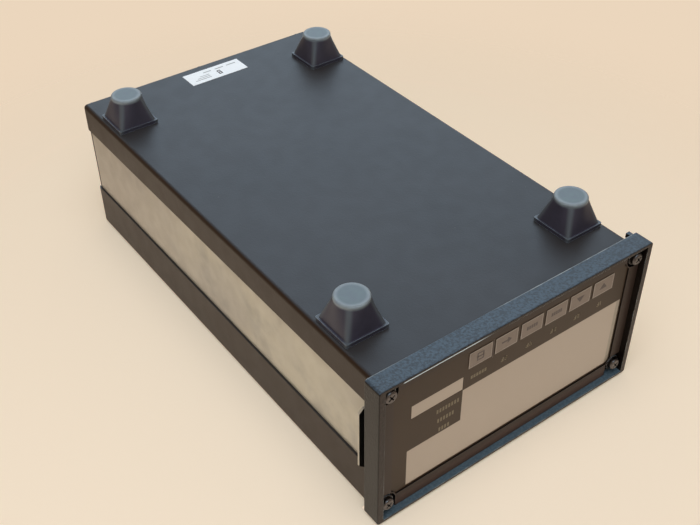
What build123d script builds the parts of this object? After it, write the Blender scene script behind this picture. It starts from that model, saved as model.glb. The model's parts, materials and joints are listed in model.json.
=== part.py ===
from build123d import *
import os

# Bench frequency counter: folded steel case on four rubber feet, thick front bezel with a
# recessed panel, membrane keypad and stepped display, inputs and mains on the rear panel.
#
# Frame: +Z up, the front faces -Y, the feet stand on Z = 0 and the origin is under the middle
# of the whole instrument, rear connectors included. Sizes are in millimetres.

os.makedirs("parts", exist_ok=True)

# --- Driving dimensions: case ------------------------------------------------------------------
case_width = 200.0
case_height = 108.0
case_depth = 356.0
sheet = 1.5                  # folded steel of the two covers
bottom_flange = 21.0         # how far the bottom cover turns up the sides
top_flange = 34.0            # how far the top cover turns down the sides
cover_radius = 3.0           # outside bend of the covers
rear_lip = 8.0               # turned-in lip at the back of each cover
connector_reach = 12.0       # how far the rear connectors stand out behind the covers
gap = 0.1                    # assembly clearance between fixed pieces

# --- Driving dimensions: feet ------------------------------------------------------------------
foot_height = 21.5
foot_base = 30.0
foot_flange = 2.6
foot_top_radius = 10.8
foot_x = 81.8
foot_insets = {              # foot centres from the nearer end of the case; they aren't quite in line
    "foot_front_left": 35.8,
    "foot_front_right": 42.4,
    "foot_rear_left": 46.0,
    "foot_rear_right": 42.0,
}

# --- Driving dimensions: bezel and panel, depths measured back from the bezel's front face -----
bezel_depth = 13.2
bezel_overhang = 5.4         # past the case on each side
bezel_drop = 4.4             # below the case
bezel_top_inset = 1.2        # short of the case's top
bezel_radius = 2.0
rim_side = 4.2
rim_end = 2.2
ledge_depth = 4.3            # front of the panel
panel_thickness = 3.0
pocket_depth = 1.6           # overlay pocket in the panel
overlay_step = 0.8           # overlay face below the panel's face
overlay_thickness = 0.8
boss_depth = 4.6             # face of the screw bosses
boss_radius = 5.2
notch_radius = 6.8           # panel notch round each boss
screw_x = 95.9
screw_inset = 10.4           # bezel screws from the bezel's top and bottom edges

# --- Driving dimensions: overlay, windows and keys, X and Z in the instrument's frame ----------
overlay_width = 184.4
overlay_low = 28.6
overlay_high = 115.6
overlay_radius = 4.0
window_left = -91.0
window_step_x = 40.7         # lower part of the window ends here
window_right = 80.9
window_low = 59.2
window_step_z = 84.3
window_high = 114.1
status_left = 40.9
status_right = 78.7
status_low = 48.2
status_high = 58.4
key_names = ["down", "up", "select", "enter", "back", "menu"]
key_first_x = -70.7
key_pitch = 20.0
key_z = 37.7
key_width = 16.7
key_height = 11.2
key_clearance = 0.2
key_proud = 0.3              # key face in front of the overlay
key_travel = 0.5

# --- Positions worked out from the above -------------------------------------------------------
front_y = -(bezel_depth + case_depth + connector_reach) / 2
case_front = front_y + bezel_depth
case_rear = case_front + case_depth
case_mid_y = (case_front + case_rear) / 2
case_low = foot_height
case_top = case_low + case_height
inner_x = case_width / 2 - sheet
inner_low = case_low + sheet
inner_top = case_top - sheet
bezel_width = case_width + 2 * bezel_overhang
bezel_low = case_low - bezel_drop
bezel_high = case_top - bezel_top_inset
bezel_height = bezel_high - bezel_low
bezel_mid_z = (bezel_low + bezel_high) / 2
recess_width = bezel_width - 2 * rim_side
recess_height = bezel_height - 2 * rim_end
floor_depth = ledge_depth + panel_thickness
overlay_depth = ledge_depth + overlay_step
overlay_mid_z = (overlay_low + overlay_high) / 2
overlay_height = overlay_high - overlay_low
screw_low_z = bezel_low + screw_inset
screw_high_z = bezel_high - screw_inset
screw_points = [(x, z) for x in (-screw_x, screw_x) for z in (screw_low_z, screw_high_z)]
key_points = [(key_first_x + n * key_pitch, key_z) for n in range(len(key_names))]


def face_plane(y):
    """Upright plane at Y = y: its own x is X, its own y is Z, and it faces the front (-Y)."""
    return Plane.XZ.offset(-y)


def depth_plane(depth):
    """Upright plane at a depth behind the bezel's front face."""
    return face_plane(front_y + depth)


def block(x, y, z, mode=Mode.ADD):
    """Rectangular block between pairs of limits, in the current part."""
    centre = (sum(x) / 2, sum(y) / 2, sum(z) / 2)
    with Locations(centre):
        Box(x[1] - x[0], y[1] - y[0], z[1] - z[0], mode=mode)


def save(piece, label):
    """Name a finished piece and write its STEP file."""
    piece.part.label = label
    export_step(piece.part, f"parts/{label}.step")


def window_outline(shrink):
    """Stepped display outline in the current sketch, moved in by shrink all round."""
    left, right, step_x = window_left + shrink, window_right - shrink, window_step_x - shrink
    low, high, step_z = window_low + shrink, window_high - shrink, window_step_z + shrink
    Polygon(
        (left, low), (step_x, low), (step_x, step_z), (right, step_z), (right, high), (left, high),
        align=None,
    )


def key_outlines(grow):
    """The six key outlines in the current sketch, larger by grow all round."""
    with Locations(*key_points):
        RectangleRounded(key_width + 2 * grow, key_height + 2 * grow, 0.8)


def status_outline(shrink):
    """Small status window in the current sketch."""
    middle = ((status_left + status_right) / 2, (status_low + status_high) / 2)
    with Locations(middle):
        Rectangle(status_right - status_left - 2 * shrink, status_high - status_low - 2 * shrink)


# --- Front bezel: rim, recess, screw bosses and the opening for the electronics ----------------
opening_width = 185.0
opening_low = 26.0
opening_high = 116.4
opening_mid_z = (opening_low + opening_high) / 2
screw_hole_radius = 2.2
nub_x = (-105.2, -102.2)     # small nub behind the bezel, low on the left
nub_z = (20.4, 23.8)
nub_reach = 5.6

with BuildPart() as front_bezel:
    with BuildSketch(depth_plane(0)):
        with Locations((0, bezel_mid_z)):
            RectangleRounded(bezel_width, bezel_height, bezel_radius)
    extrude(amount=-bezel_depth)
    fillet(front_bezel.faces().sort_by(Axis.Y)[0].edges(), radius=0.7)
    fillet(front_bezel.faces().sort_by(Axis.Y)[-1].edges(), radius=0.5)
    with BuildSketch(depth_plane(0)):
        with Locations((0, bezel_mid_z)):
            RectangleRounded(recess_width, recess_height, 1.2)
    extrude(amount=-floor_depth, mode=Mode.SUBTRACT)
    with BuildSketch(depth_plane(floor_depth)):
        with Locations((0, opening_mid_z)):
            Rectangle(opening_width, opening_high - opening_low)
    extrude(amount=-bezel_depth, mode=Mode.SUBTRACT)
    with BuildSketch(depth_plane(boss_depth)):
        with Locations(*screw_points):
            Circle(boss_radius)
    extrude(amount=boss_depth - floor_depth - 1)
    with BuildSketch(depth_plane(0)):
        with Locations(*screw_points):
            Circle(screw_hole_radius)
    extrude(amount=-bezel_depth, mode=Mode.SUBTRACT)
    block(nub_x, (case_front - 1, case_front + nub_reach), nub_z)
save(front_bezel, "front_bezel")

# --- Front panel: plate in the recess, notched at the screws, pocketed for the overlay ---------
panel_clearance = 0.2
window_seat = 1.5            # how far the panel reaches in behind the windows
pocket_notch_radius = notch_radius + 0.8

with BuildPart() as front_panel:
    with BuildSketch(depth_plane(ledge_depth)):
        with Locations((0, bezel_mid_z)):
            Rectangle(recess_width - 2 * panel_clearance, recess_height - 2 * panel_clearance)
        with Locations(*screw_points):
            Circle(notch_radius, mode=Mode.SUBTRACT)
        for x, z in screw_points:
            side = 1 if x > 0 else -1
            end = 1 if z > bezel_mid_z else -1
            with Locations((x + side * 2, z + end * screw_inset / 2)):
                Rectangle(2 * notch_radius + 4, screw_inset, mode=Mode.SUBTRACT)
            with Locations((x + side * 4, z)):
                Rectangle(8, 2 * notch_radius, mode=Mode.SUBTRACT)
    extrude(amount=-panel_thickness)
    with BuildSketch(depth_plane(ledge_depth)):
        with Locations((0, overlay_mid_z)):
            RectangleRounded(overlay_width, overlay_height, overlay_radius)
        with Locations(*screw_points):
            Circle(pocket_notch_radius, mode=Mode.SUBTRACT)
    extrude(amount=-pocket_depth, mode=Mode.SUBTRACT)
    with BuildSketch(depth_plane(ledge_depth)):
        window_outline(window_seat)
        status_outline(window_seat)
        key_outlines(key_clearance + 0.1)
    extrude(amount=-panel_thickness, mode=Mode.SUBTRACT)
save(front_panel, "front_panel")

# --- Keypad overlay and the two windows set in it ----------------------------------------------
with BuildPart() as keypad_overlay:
    with BuildSketch(depth_plane(overlay_depth)):
        with Locations((0, overlay_mid_z)):
            RectangleRounded(overlay_width - 2 * gap, overlay_height - 2 * gap, overlay_radius - gap)
        with Locations(*screw_points):
            Circle(pocket_notch_radius + gap, mode=Mode.SUBTRACT)
    extrude(amount=-overlay_thickness)
    with BuildSketch(depth_plane(overlay_depth)):
        window_outline(0)
        status_outline(0)
        key_outlines(key_clearance)
    extrude(amount=-overlay_thickness, mode=Mode.SUBTRACT)
save(keypad_overlay, "keypad_overlay")

with BuildPart() as display_window:
    with BuildSketch(depth_plane(overlay_depth + gap)):
        window_outline(gap)
    extrude(amount=gap - overlay_thickness)
save(display_window, "display_window")

with BuildPart() as status_window:
    with BuildSketch(depth_plane(overlay_depth + gap)):
        status_outline(gap)
    extrude(amount=gap - overlay_thickness)
save(status_window, "status_window")

# --- Keys: cap through the overlay, skirt behind the panel -------------------------------------
key_front_depth = overlay_depth - key_proud
skirt_depth = floor_depth + 0.2
skirt_thickness = 0.8
skirt_grow = 0.85

for key_name, key_point in zip(key_names, key_points):
    with BuildPart() as key:
        with BuildSketch(depth_plane(key_front_depth)):
            with Locations(key_point):
                RectangleRounded(key_width, key_height, 0.7)
        extrude(amount=key_front_depth - skirt_depth)
        fillet(key.faces().sort_by(Axis.Y)[0].edges(), radius=0.2)
        with BuildSketch(depth_plane(skirt_depth)):
            with Locations(key_point):
                Rectangle(key_width + 2 * skirt_grow, key_height + 2 * skirt_grow)
        extrude(amount=-skirt_thickness)
    save(key, f"key_{key_name}")

# --- Keypad board and its snap domes -----------------------------------------------------------
dome_radius = 4.2
dome_height = 0.6
dome_depth = skirt_depth + skirt_thickness + key_travel + 0.2
keypad_board_depth = dome_depth + dome_height
board_thickness = 1.6
keypad_board_width = 178.0
keypad_board_height = 20.0
keypad_board_rise = 0.4      # middle of the board above the middle of the keys
keypad_hole_x = 84.0
board_hole_radius = 1.6

with BuildPart() as key_domes:
    with BuildSketch(depth_plane(keypad_board_depth)):
        with Locations(*key_points):
            Circle(dome_radius)
    extrude(amount=dome_height, taper=40)
save(key_domes, "key_domes")

with BuildPart() as keypad_board:
    with BuildSketch(depth_plane(keypad_board_depth)):
        with Locations((0, key_z + keypad_board_rise)):
            RectangleRounded(keypad_board_width, keypad_board_height, 1.5)
        with Locations((-keypad_hole_x, key_z), (keypad_hole_x, key_z)):
            Circle(board_hole_radius, mode=Mode.SUBTRACT)
    extrude(amount=-board_thickness)
save(keypad_board, "keypad_board")

# --- Display module and its board --------------------------------------------------------------
module_depth = floor_depth + 0.3
module_thickness = 8.0
module_board_depth = module_depth + module_thickness
module_mid = ((window_left + window_right) / 2, (window_low + window_high) / 2)
module_width = 172.0
module_height = 54.0
module_border = 4.0          # metal surround of the display glass
glass_recess = 0.8

with BuildPart() as display_module:
    with BuildSketch(depth_plane(module_depth)):
        with Locations(module_mid):
            RectangleRounded(module_width, module_height, 1.5)
    extrude(amount=-module_thickness)
    with BuildSketch(depth_plane(module_depth)):
        with Locations(module_mid):
            Rectangle(module_width - 2 * module_border, module_height - 2 * module_border)
    extrude(amount=-glass_recess, mode=Mode.SUBTRACT)
save(display_module, "display_module")

module_hole_points = [
    (module_mid[0] + sx * (module_width / 2 - module_border),
     module_mid[1] + sz * (module_height / 2 - module_border))
    for sx in (-1, 1) for sz in (-1, 1)
]

with BuildPart() as display_board:
    with BuildSketch(depth_plane(module_board_depth)):
        with Locations(module_mid):
            Rectangle(module_width, module_height)
        with Locations(*module_hole_points):
            Circle(board_hole_radius, mode=Mode.SUBTRACT)
    extrude(amount=-board_thickness)
save(display_board, "display_board")

# --- Front frame: ring behind the bezel that takes its screws and the side panels --------------
frame_plate = 4.0
frame_arm = 16.0
frame_x = inner_x - gap
frame_low = inner_low + gap
frame_high = inner_top - gap
frame_opening_inset = 2.0    # the frame's opening is this much lower than the bezel's, top and bottom
frame_screw_radius = 2.0
arm_thickness = 2.0
arm_z = (38.0, 114.0)
side_panel_thickness = 1.5
side_panel_out = inner_x - gap
side_panel_in = side_panel_out - side_panel_thickness
arm_out = side_panel_in - gap

with BuildPart() as front_frame:
    with BuildSketch(face_plane(case_front)):
        with Locations((0, (frame_low + frame_high) / 2)):
            Rectangle(2 * frame_x, frame_high - frame_low)
        with Locations((0, opening_mid_z)):
            Rectangle(
                opening_width, opening_high - opening_low - 2 * frame_opening_inset, mode=Mode.SUBTRACT,
            )
        with Locations(*screw_points):
            Circle(frame_screw_radius, mode=Mode.SUBTRACT)
    extrude(amount=-frame_plate)
    for side in (-1, 1):
        arm_x = sorted((side * arm_out, side * (arm_out - arm_thickness)))
        block(arm_x, (case_front + frame_plate - 1, case_front + frame_arm), arm_z)
save(front_frame, "front_frame")

# --- Bezel screws: pan heads with a cross recess -----------------------------------------------
head_radius = 4.3
head_height = 3.2
head_round = 1.6
shank_radius = 1.95
cross_length = 4.6
cross_width = 0.9
cross_depth = 1.9
cross_turn = 35

with BuildPart() as bezel_screws:
    with BuildSketch(depth_plane(boss_depth)):
        with Locations(*screw_points):
            Circle(head_radius)
    extrude(amount=head_height)
    fillet(bezel_screws.faces().group_by(Axis.Y)[0].edges(), radius=head_round)
    with BuildSketch(depth_plane(boss_depth)):
        with Locations(*screw_points):
            Circle(shank_radius)
    extrude(amount=boss_depth - bezel_depth - frame_plate)
    with BuildSketch(depth_plane(boss_depth - head_height)):
        with Locations(*screw_points):
            Rectangle(cross_length, cross_width, rotation=cross_turn)
            Rectangle(cross_width, cross_length, rotation=cross_turn)
    extrude(amount=-cross_depth, mode=Mode.SUBTRACT)
save(bezel_screws, "bezel_screws")

# --- Covers: folded shells, open at the front, with a lip at the rear --------------------------
rear_screw_x = (-92.4, 0, 92.4)
rear_screw_inset = 2.9       # rear screws from the inside of the top and bottom covers
rear_screw_points_low = [(x, inner_low + rear_screw_inset) for x in rear_screw_x]
rear_screw_points_high = [(x, inner_top - rear_screw_inset) for x in rear_screw_x]
rear_screw_points = rear_screw_points_low + rear_screw_points_high
rear_screw_clearance = 1.6
rear_thread_radius = 1.5
rear_shank_radius = 1.45
rear_shank_length = 9.0
rear_head_radius = 2.7
rear_head_height = 1.9

with BuildPart() as bottom_cover:
    block((-case_width / 2, case_width / 2), (case_front, case_rear), (case_low, case_low + bottom_flange))
    low_edges = bottom_cover.faces().sort_by(Axis.Z)[0].edges().sort_by(Axis.Y)[1:]
    rear_edges = bottom_cover.edges().filter_by(Axis.Z).sort_by(Axis.Y)[2:]
    fillet(low_edges + rear_edges, radius=cover_radius)
    block((-inner_x, inner_x), (case_front, case_rear - sheet),
          (inner_low, case_low + bottom_flange), Mode.SUBTRACT)
    block((-inner_x, inner_x), (case_rear - sheet, case_rear),
          (case_low + rear_lip, case_low + bottom_flange), Mode.SUBTRACT)
    with BuildSketch(face_plane(case_rear)):
        with Locations(*rear_screw_points_low):
            Circle(rear_screw_clearance)
    extrude(amount=sheet, mode=Mode.SUBTRACT)
save(bottom_cover, "bottom_cover")

with BuildPart() as top_cover:
    block((-case_width / 2, case_width / 2), (case_front, case_rear), (case_top - top_flange, case_top))
    high_edges = top_cover.faces().sort_by(Axis.Z)[-1].edges().sort_by(Axis.Y)[1:]
    rear_edges = top_cover.edges().filter_by(Axis.Z).sort_by(Axis.Y)[2:]
    fillet(high_edges + rear_edges, radius=cover_radius)
    block((-inner_x, inner_x), (case_front, case_rear - sheet),
          (case_top - top_flange, inner_top), Mode.SUBTRACT)
    block((-inner_x, inner_x), (case_rear - sheet, case_rear),
          (case_top - top_flange, case_top - rear_lip), Mode.SUBTRACT)
    with BuildSketch(face_plane(case_rear)):
        with Locations(*rear_screw_points_high):
            Circle(rear_screw_clearance)
    extrude(amount=sheet, mode=Mode.SUBTRACT)
save(top_cover, "top_cover")

# --- Rear panel and its layout -----------------------------------------------------------------
rear_panel_out = case_rear - sheet - gap
rear_panel_thickness = 2.0
rear_panel_in = rear_panel_out - rear_panel_thickness
socket_points = {
    "input_a_connector": (74.0, 98.0),
    "input_b_connector": (46.0, 98.0),
    "gate_input_connector": (18.0, 98.0),
    "reference_in_connector": (74.0, 58.0),
    "reference_out_connector": (46.0, 58.0),
}
inlet_x, inlet_z = -68.0, 58.0
switch_x, switch_z = -68.0, 102.0
serial_x, serial_z = 2.0, 58.0
socket_thread_radius = 6.2
inlet_body = (27.0, 34.0)    # bodies of the inlet, the switch and the serial port behind the panel
switch_body = (12.8, 19.0)
serial_body = (19.2, 11.0)
cut_out_clearance = 0.2      # all round each body
jackscrew_x = 12.5           # either side of the serial port's middle
jackscrew_hole_radius = 1.6
jackscrew_points = [(serial_x - jackscrew_x, serial_z), (serial_x + jackscrew_x, serial_z)]
vent_first_x = -38.0
vent_pitch = 4.5
vent_z = 98.0
vent_length = 24.0
vent_width = 2.2
vent_points = [(vent_first_x + vent_pitch * n, vent_z) for n in range(9)]


def cut_out(middle, body):
    """Rectangular cut-out round a body, in the current sketch."""
    with Locations(middle):
        Rectangle(body[0] + 2 * cut_out_clearance, body[1] + 2 * cut_out_clearance, mode=Mode.SUBTRACT)


with BuildPart() as rear_panel:
    with BuildSketch(face_plane(rear_panel_out)):
        with Locations((0, (inner_low + inner_top) / 2)):
            Rectangle(2 * (inner_x - gap), inner_top - inner_low - 2 * gap)
        with Locations(*socket_points.values()):
            Circle(socket_thread_radius + gap, mode=Mode.SUBTRACT)
        cut_out((inlet_x, inlet_z), inlet_body)
        cut_out((switch_x, switch_z), switch_body)
        cut_out((serial_x, serial_z), serial_body)
        with Locations(*jackscrew_points):
            Circle(jackscrew_hole_radius, mode=Mode.SUBTRACT)
        with Locations(*vent_points):
            SlotOverall(vent_length, vent_width, rotation=90, mode=Mode.SUBTRACT)
        with Locations(*rear_screw_points):
            Circle(rear_thread_radius, mode=Mode.SUBTRACT)
    extrude(amount=rear_panel_thickness)
save(rear_panel, "rear_panel")

# --- Side panels: bare aluminium plates, turned outwards between the covers at the front -------
side_panel_front = case_front + 4.6
side_panel_low = inner_low + 2 * gap
side_panel_high = inner_top - 2 * gap
lip_out = 105.2
lip_low = case_low + bottom_flange + 3
lip_high = case_top - top_flange - 1
lip_corner = 3.0             # bevel at the lip's outer corners

for side, side_name in ((-1, "left"), (1, "right")):
    with BuildPart() as side_panel:
        panel_x = sorted((side * side_panel_in, side * side_panel_out))
        block(panel_x, (side_panel_front, rear_panel_in - gap), (side_panel_low, side_panel_high))
        with BuildSketch(face_plane(side_panel_front)):
            Polygon(
                (side * side_panel_in, lip_low), (side * (lip_out - lip_corner), lip_low),
                (side * lip_out, lip_low + lip_corner), (side * lip_out, lip_high - lip_corner),
                (side * (lip_out - lip_corner), lip_high), (side * side_panel_in, lip_high),
                align=None,
            )
        extrude(amount=-side_panel_thickness)
    save(side_panel, f"side_panel_{side_name}")

# --- Corner blocks that tie the side panels to the rear panel, and the rear screws -------------
block_depth = 12.0
block_size = 8.0
block_reach = side_panel_in - gap

with BuildPart() as rear_corner_blocks:
    for side in (-1, 1):
        block_x = sorted((side * block_reach, side * (block_reach - block_size)))
        for block_low in (side_panel_low, side_panel_high - block_size):
            block(block_x, (rear_panel_in - gap - block_depth, rear_panel_in - gap),
                  (block_low, block_low + block_size))
    with BuildSketch(face_plane(rear_panel_in)):
        with Locations(*rear_screw_points):
            Circle(rear_thread_radius)
    extrude(amount=block_depth + 1, mode=Mode.SUBTRACT)
save(rear_corner_blocks, "rear_corner_blocks")

with BuildPart() as rear_screws:
    with BuildSketch(face_plane(case_rear)):
        with Locations(*rear_screw_points):
            Circle(rear_head_radius)
    extrude(amount=-rear_head_height)
    fillet(rear_screws.faces().group_by(Axis.Y)[-1].edges(), radius=1.0)
    with BuildSketch(face_plane(case_rear)):
        with Locations(*rear_screw_points):
            Circle(rear_shank_radius)
    extrude(amount=rear_shank_length)
    with BuildSketch(face_plane(case_rear + rear_head_height)):
        with Locations(*rear_screw_points):
            Rectangle(3.2, 0.7, rotation=20)
            Rectangle(0.7, 3.2, rotation=20)
    extrude(amount=1.2, mode=Mode.SUBTRACT)
save(rear_screws, "rear_screws")

# --- Feet: square flange, body blended from a square up to a round pad -------------------------
pad_height = 2.4             # straight-sided end of the foot
pad_round = 1.2
foot_step = 1.2              # the body starts this far inside the flange

foot_points = {}
for foot_name, foot_inset in foot_insets.items():
    foot_side = -foot_x if "left" in foot_name else foot_x
    foot_y = case_front + foot_inset if "front" in foot_name else case_rear - foot_inset
    foot_points[foot_name] = (foot_side, foot_y)

for foot_name, foot_point in foot_points.items():
    with BuildPart() as foot:
        with BuildSketch(Plane.XY.offset(case_low - foot_flange)):
            with Locations(foot_point):
                RectangleRounded(foot_base, foot_base, 1.0)
        extrude(amount=foot_flange)
        with BuildSketch(Plane.XY.offset(case_low - foot_flange)):
            with Locations(foot_point):
                RectangleRounded(foot_base - 2 * foot_step, foot_base - 2 * foot_step, 1.5)
        with BuildSketch(Plane.XY.offset(pad_height)):
            with Locations(foot_point):
                Circle(foot_top_radius)
        loft()
        with BuildSketch(Plane.XY):
            with Locations(foot_point):
                Circle(foot_top_radius)
        extrude(amount=pad_height)
        fillet(foot.faces().sort_by(Axis.Z)[0].edges(), radius=pad_round)
    save(foot, foot_name)

# --- Asset label on the underside --------------------------------------------------------------
label_thickness = 0.15
label_x = (-28.6, 20.2)
label_y = (case_rear - 26.5, case_rear - 9.0)

with BuildPart() as asset_label:
    block(label_x, label_y, (case_low - label_thickness, case_low))
save(asset_label, "asset_label")

# --- Coaxial sockets: body, panel nut, insulator and contact -----------------------------------
socket_radius = 4.8
socket_end = case_rear + connector_reach
shoulder_radius = 7.6        # flange of the socket inside the panel
shoulder_depth = 2.0
lug_radius = 1.0
lug_reach = 0.9              # past the barrel on each side
lug_back = 3.6               # behind the mouth
mouth_radius = 4.05
mouth_depth = 9.0
insulator_radius = 2.4
insulator_length = 7.0
contact_radius = 0.75
contact_length = 6.2
nut_thickness = 2.4
nut_half_width = 7.2

for socket_name, socket_point in socket_points.items():
    with BuildPart() as socket:
        with BuildSketch(face_plane(rear_panel_in)):
            with Locations(socket_point):
                Circle(shoulder_radius)
        extrude(amount=shoulder_depth)
        with BuildSketch(face_plane(rear_panel_in)):
            with Locations(socket_point):
                Circle(socket_thread_radius)
        extrude(amount=-rear_panel_thickness - nut_thickness - 1.0)
        with BuildSketch(face_plane(rear_panel_in)):
            with Locations(socket_point):
                Circle(socket_radius)
        extrude(amount=rear_panel_in - socket_end)
        with Locations((socket_point[0], socket_end - lug_back, socket_point[1])):
            Cylinder(lug_radius, 2 * (socket_radius + lug_reach), rotation=(0, 90, 0))
        with BuildSketch(face_plane(socket_end)):
            with Locations(socket_point):
                Circle(mouth_radius)
        extrude(amount=mouth_depth, mode=Mode.SUBTRACT)
    save(socket, socket_name)

with BuildPart() as socket_nuts:
    with BuildSketch(face_plane(rear_panel_out)):
        with Locations(*socket_points.values()):
            RegularPolygon(nut_half_width, 6, major_radius=False)
            Circle(socket_thread_radius + gap / 2, mode=Mode.SUBTRACT)
    extrude(amount=-nut_thickness)
save(socket_nuts, "socket_nuts")

with BuildPart() as socket_insulators:
    with BuildSketch(face_plane(socket_end - mouth_depth)):
        with Locations(*socket_points.values()):
            Circle(insulator_radius)
            Circle(contact_radius, mode=Mode.SUBTRACT)
    extrude(amount=-insulator_length)
save(socket_insulators, "socket_insulators")

with BuildPart() as socket_contacts:
    with BuildSketch(face_plane(socket_end - mouth_depth)):
        with Locations(*socket_points.values()):
            Circle(contact_radius)
    extrude(amount=-contact_length)
save(socket_contacts, "socket_contacts")

# --- Mains inlet with its pins, fuse drawer and fuse -------------------------------------------
inlet_flange = 3.0
inlet_out = rear_panel_out + inlet_flange
inlet_body_depth = 24.0
cavity = (24.4, 16.6)        # well for the mains connector
cavity_depth = 19.0
cavity_z = inlet_z + 6.5
cavity_corner = 7.6          # square turned 45 degrees that bevels the well's two upper corners
pin_half_width = 1.0
pin_half_height = 2.0
drawer_z = inlet_z - 11.6
drawer_slot = (20.6, 8.0)
drawer_slot_depth = 22.0
drawer_seat = (22.6, 9.8)
drawer_seat_depth = 1.6
drawer_face = (22.0, 9.2)
drawer_face_thickness = 1.4
drawer_body = (20.0, 7.4)
drawer_length = 19.6
fuse_radius = 2.5
fuse_length = 15.8
fuse_back = 11.0             # fuse centre behind the drawer's face

with BuildPart() as mains_inlet:
    with BuildSketch(face_plane(rear_panel_out)):
        with Locations((inlet_x, inlet_z)):
            RectangleRounded(31, 39, 2.0)
    extrude(amount=-inlet_flange)
    fillet(mains_inlet.faces().sort_by(Axis.Y)[-1].edges(), radius=0.6)
    with BuildSketch(face_plane(rear_panel_out)):
        with Locations((inlet_x, inlet_z)):
            Rectangle(*inlet_body)
    extrude(amount=inlet_body_depth)
    with BuildSketch(face_plane(inlet_out)):
        with Locations((inlet_x, cavity_z)):
            Rectangle(*cavity)
            with Locations((-cavity[0] / 2, cavity[1] / 2), (cavity[0] / 2, cavity[1] / 2)):
                Rectangle(cavity_corner, cavity_corner, rotation=45, mode=Mode.SUBTRACT)
    extrude(amount=cavity_depth, mode=Mode.SUBTRACT)
    with BuildSketch(face_plane(inlet_out)):
        with Locations((inlet_x, drawer_z)):
            Rectangle(*drawer_slot)
    extrude(amount=drawer_slot_depth, mode=Mode.SUBTRACT)
    with BuildSketch(face_plane(inlet_out)):
        with Locations((inlet_x, drawer_z)):
            Rectangle(*drawer_seat)
    extrude(amount=drawer_seat_depth, mode=Mode.SUBTRACT)
save(mains_inlet, "mains_inlet")

with BuildPart() as inlet_pins:
    for pin_x, pin_z, pin_length in ((-7.0, -2.2, 14.0), (7.0, -2.2, 14.0), (0.0, 2.4, 16.0)):
        pin_root = inlet_out - cavity_depth
        block((inlet_x + pin_x - pin_half_width, inlet_x + pin_x + pin_half_width),
              (pin_root, pin_root + pin_length),
              (cavity_z + pin_z - pin_half_height, cavity_z + pin_z + pin_half_height))
save(inlet_pins, "inlet_pins")

with BuildPart() as fuse_drawer:
    with BuildSketch(face_plane(inlet_out)):
        with Locations((inlet_x, drawer_z)):
            RectangleRounded(*drawer_face, 0.8)
    extrude(amount=drawer_face_thickness)
    with BuildSketch(face_plane(inlet_out - 1.0)):
        with Locations((inlet_x, drawer_z)):
            Rectangle(*drawer_body)
    extrude(amount=drawer_length)
    block((inlet_x - 3.0, inlet_x + 3.0), (inlet_out - 0.2, inlet_out + 1.0), (drawer_z + 1.4, drawer_z + 3.2))
    with BuildSketch(Plane.XY.offset(drawer_z + 3.8)):
        with Locations((inlet_x, inlet_out - fuse_back)):
            Rectangle(fuse_length + 0.2, 14.0)
    extrude(amount=-6.4, mode=Mode.SUBTRACT)
save(fuse_drawer, "fuse_drawer")

with BuildPart() as mains_fuse:
    with Locations((inlet_x, inlet_out - fuse_back, drawer_z - gap)):
        Cylinder(fuse_radius, fuse_length, rotation=(0, 90, 0))
save(mains_fuse, "mains_fuse")

# --- Power switch: housing and rocker on its trunnions -----------------------------------------
rocker_width = 9.4
rocker_tilt = 8.0
rocker_pivot_y = rear_panel_out - 1.6
well_half_width = 5.0
well_half_height = 8.1
well_depth = 10.5
switch_rim = 2.0
switch_body_depth = 16.0
trunnion_radius = 1.0
trunnion_length = 11.4
rocker_profile = [           # (out from the pivot, up), clockwise from the middle of the pressing face
    (4.6, 0), (6.6, 6.6), (4.4, 7.0), (1.0, 5.2), (-2.4, 2.4),
    (-2.4, -2.4), (1.0, -5.2), (4.4, -7.0), (6.6, -6.6),
]

with BuildPart() as switch_housing:
    with BuildSketch(face_plane(rear_panel_out)):
        with Locations((switch_x, switch_z)):
            RectangleRounded(15.2, 21.2, 1.4)
    extrude(amount=-switch_rim)
    fillet(switch_housing.faces().sort_by(Axis.Y)[-1].edges(), radius=0.5)
    with BuildSketch(face_plane(rear_panel_out)):
        with Locations((switch_x, switch_z)):
            Rectangle(*switch_body)
    extrude(amount=switch_body_depth)
    with BuildSketch(face_plane(rear_panel_out + switch_rim)):
        with Locations((switch_x, switch_z)):
            Rectangle(2 * well_half_width, 2 * well_half_height)
    extrude(amount=well_depth, mode=Mode.SUBTRACT)
    with Locations((switch_x, rocker_pivot_y, switch_z)):
        Cylinder(trunnion_radius + 0.05, trunnion_length + 0.4, rotation=(0, 90, 0), mode=Mode.SUBTRACT)
save(switch_housing, "switch_housing")

with BuildPart() as power_rocker:
    rocker_plane = Plane(
        origin=(switch_x, rocker_pivot_y, switch_z),
        x_dir=Vector(0, 1, 0).rotate(Axis.X, rocker_tilt), z_dir=(1, 0, 0),
    )
    with BuildSketch(rocker_plane):
        Polygon(*rocker_profile, align=None)
    extrude(amount=rocker_width / 2, both=True)
    with Locations((switch_x, rocker_pivot_y, switch_z)):
        Cylinder(trunnion_radius, trunnion_length, rotation=(0, 90, 0))
save(power_rocker, "power_rocker")

# --- Serial port and its jack screws -----------------------------------------------------------
serial_flange = (30.8, 12.6)
serial_flange_thickness = 0.9
serial_shell = (17.0, 8.3)   # wide side and height of the D-shaped shell
serial_shell_wall = 0.5
serial_shell_slope = 80      # degrees
serial_reach = 6.2
serial_pocket = 5.4
serial_body_depth = 9.0
pin_pitch = 2.76
pin_row_z = 1.42
serial_pin_radius = 0.5
jackscrew_thread = 1.5
jackscrew_bore = 1.3
jackscrew_half_width = 2.4
jackscrew_head = 5.0

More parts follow.
